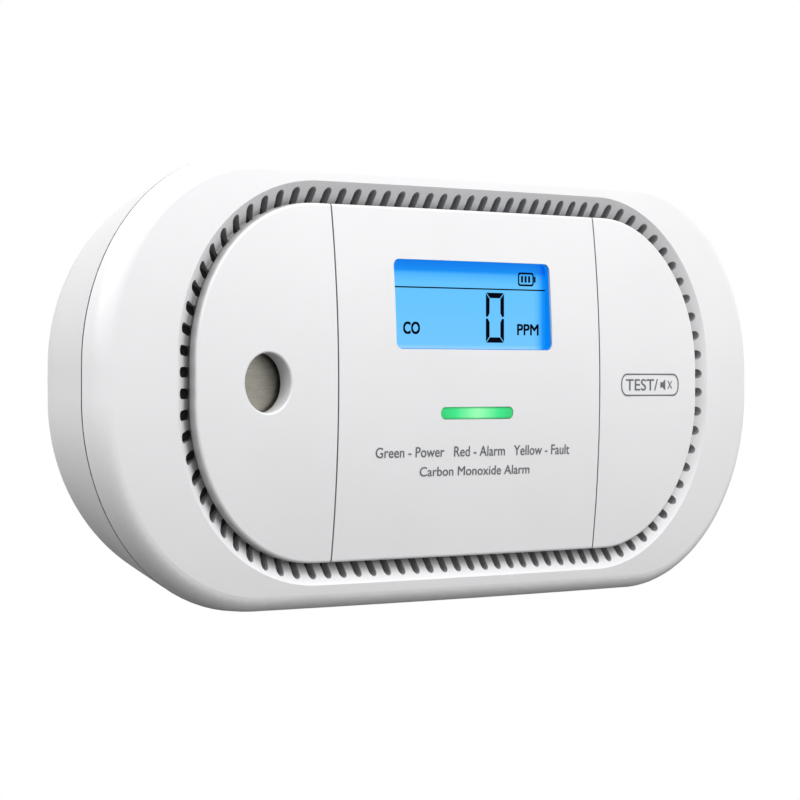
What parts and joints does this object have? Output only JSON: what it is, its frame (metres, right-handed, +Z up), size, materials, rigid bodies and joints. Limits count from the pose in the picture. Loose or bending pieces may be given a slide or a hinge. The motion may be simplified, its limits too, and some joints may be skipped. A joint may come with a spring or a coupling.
{
  "type": "carbon monoxide detector",
  "caption": "White wall-hung carbon monoxide alarm with a domed front, a ring of vent slots, a blue display, a light bar and a press-to-test end panel.",
  "frame": {"origin": "centre of the wall bracket's back face", "axes": "+X to the right as the alarm is read, +Y into the wall, +Z up; the front faces -Y"},
  "size_m": [0.15, 0.033, 0.0684],
  "materials": {
    "housing_white": "satin",
    "rear_white": "satin",
    "bracket_white": "matte",
    "black_foam": "matte",
    "dark_mesh": "matte",
    "zinc_steel": "satin",
    "lcd_blue": "gloss",
    "clear_acrylic": "gloss",
    "black_moulding": "matte",
    "tinned_metal": "satin",
    "led_body": "gloss",
    "green_light": "gloss",
    "bronze_disc": "satin",
    "pale_ceramic": "matte",
    "board_green": "satin",
    "switch_red": "matte",
    "chip_black": "matte",
    "capacitor_can": "satin",
    "copper_coil": "gloss",
    "chip_ceramic": "matte",
    "sensor_steel": "satin",
    "cell_wrap": "gloss"
  },
  "bodies": {
    "wall_bracket": {"wall_bracket": "bracket_white", "bracket_pads": "black_foam"},
    "test_button": {"test_button": "housing_white", "tact_switch_plunger": "switch_red"},
    "alarm": {"front_cover": "housing_white", "left_panel": "housing_white", "display_fascia": "housing_white", "rear_cover": "rear_white", "dust_screen": "dark_mesh", "housing_screws": "zinc_steel", "board_screws": "zinc_steel", "lcd_glass": "lcd_blue", "lcd_backlight": "clear_acrylic", "display_frame": "black_moulding", "lcd_pins": "tinned_metal", "backlight_leds": "led_body", "status_light_pipe": "green_light", "status_leds": "led_body", "sounder_cup": "black_moulding", "sounder_diaphragm": "bronze_disc", "sounder_wafer": "pale_ceramic", "sounder_pins": "tinned_metal", "main_board": "board_green", "tact_switch_body": "black_moulding", "microcontroller": "chip_black", "microcontroller_legs": "tinned_metal", "electrolytic_capacitors": "capacitor_can", "sounder_coil": "copper_coil", "chip_components": "chip_ceramic", "timing_crystal": "tinned_metal", "service_header": "black_moulding", "gas_sensor_can": "sensor_steel", "gas_sensor_cap": "black_moulding", "gas_sensor_pins": "tinned_metal", "battery_cell": "cell_wrap", "battery_tabs": "tinned_metal"}
  },
  "joints": [
    {"name": "lift_off", "type": "slide", "parent": "wall_bracket", "child": "alarm", "axis": [0, 0, 1], "range_m": [0, 0.008]},
    {"name": "test_press", "type": "slide", "parent": "alarm", "child": "test_button", "axis": [0, 1, 0], "range_m": [0, 0.0006], "stiffness_N_per_m": 2000, "springref_m": -0.0004}
  ]
}
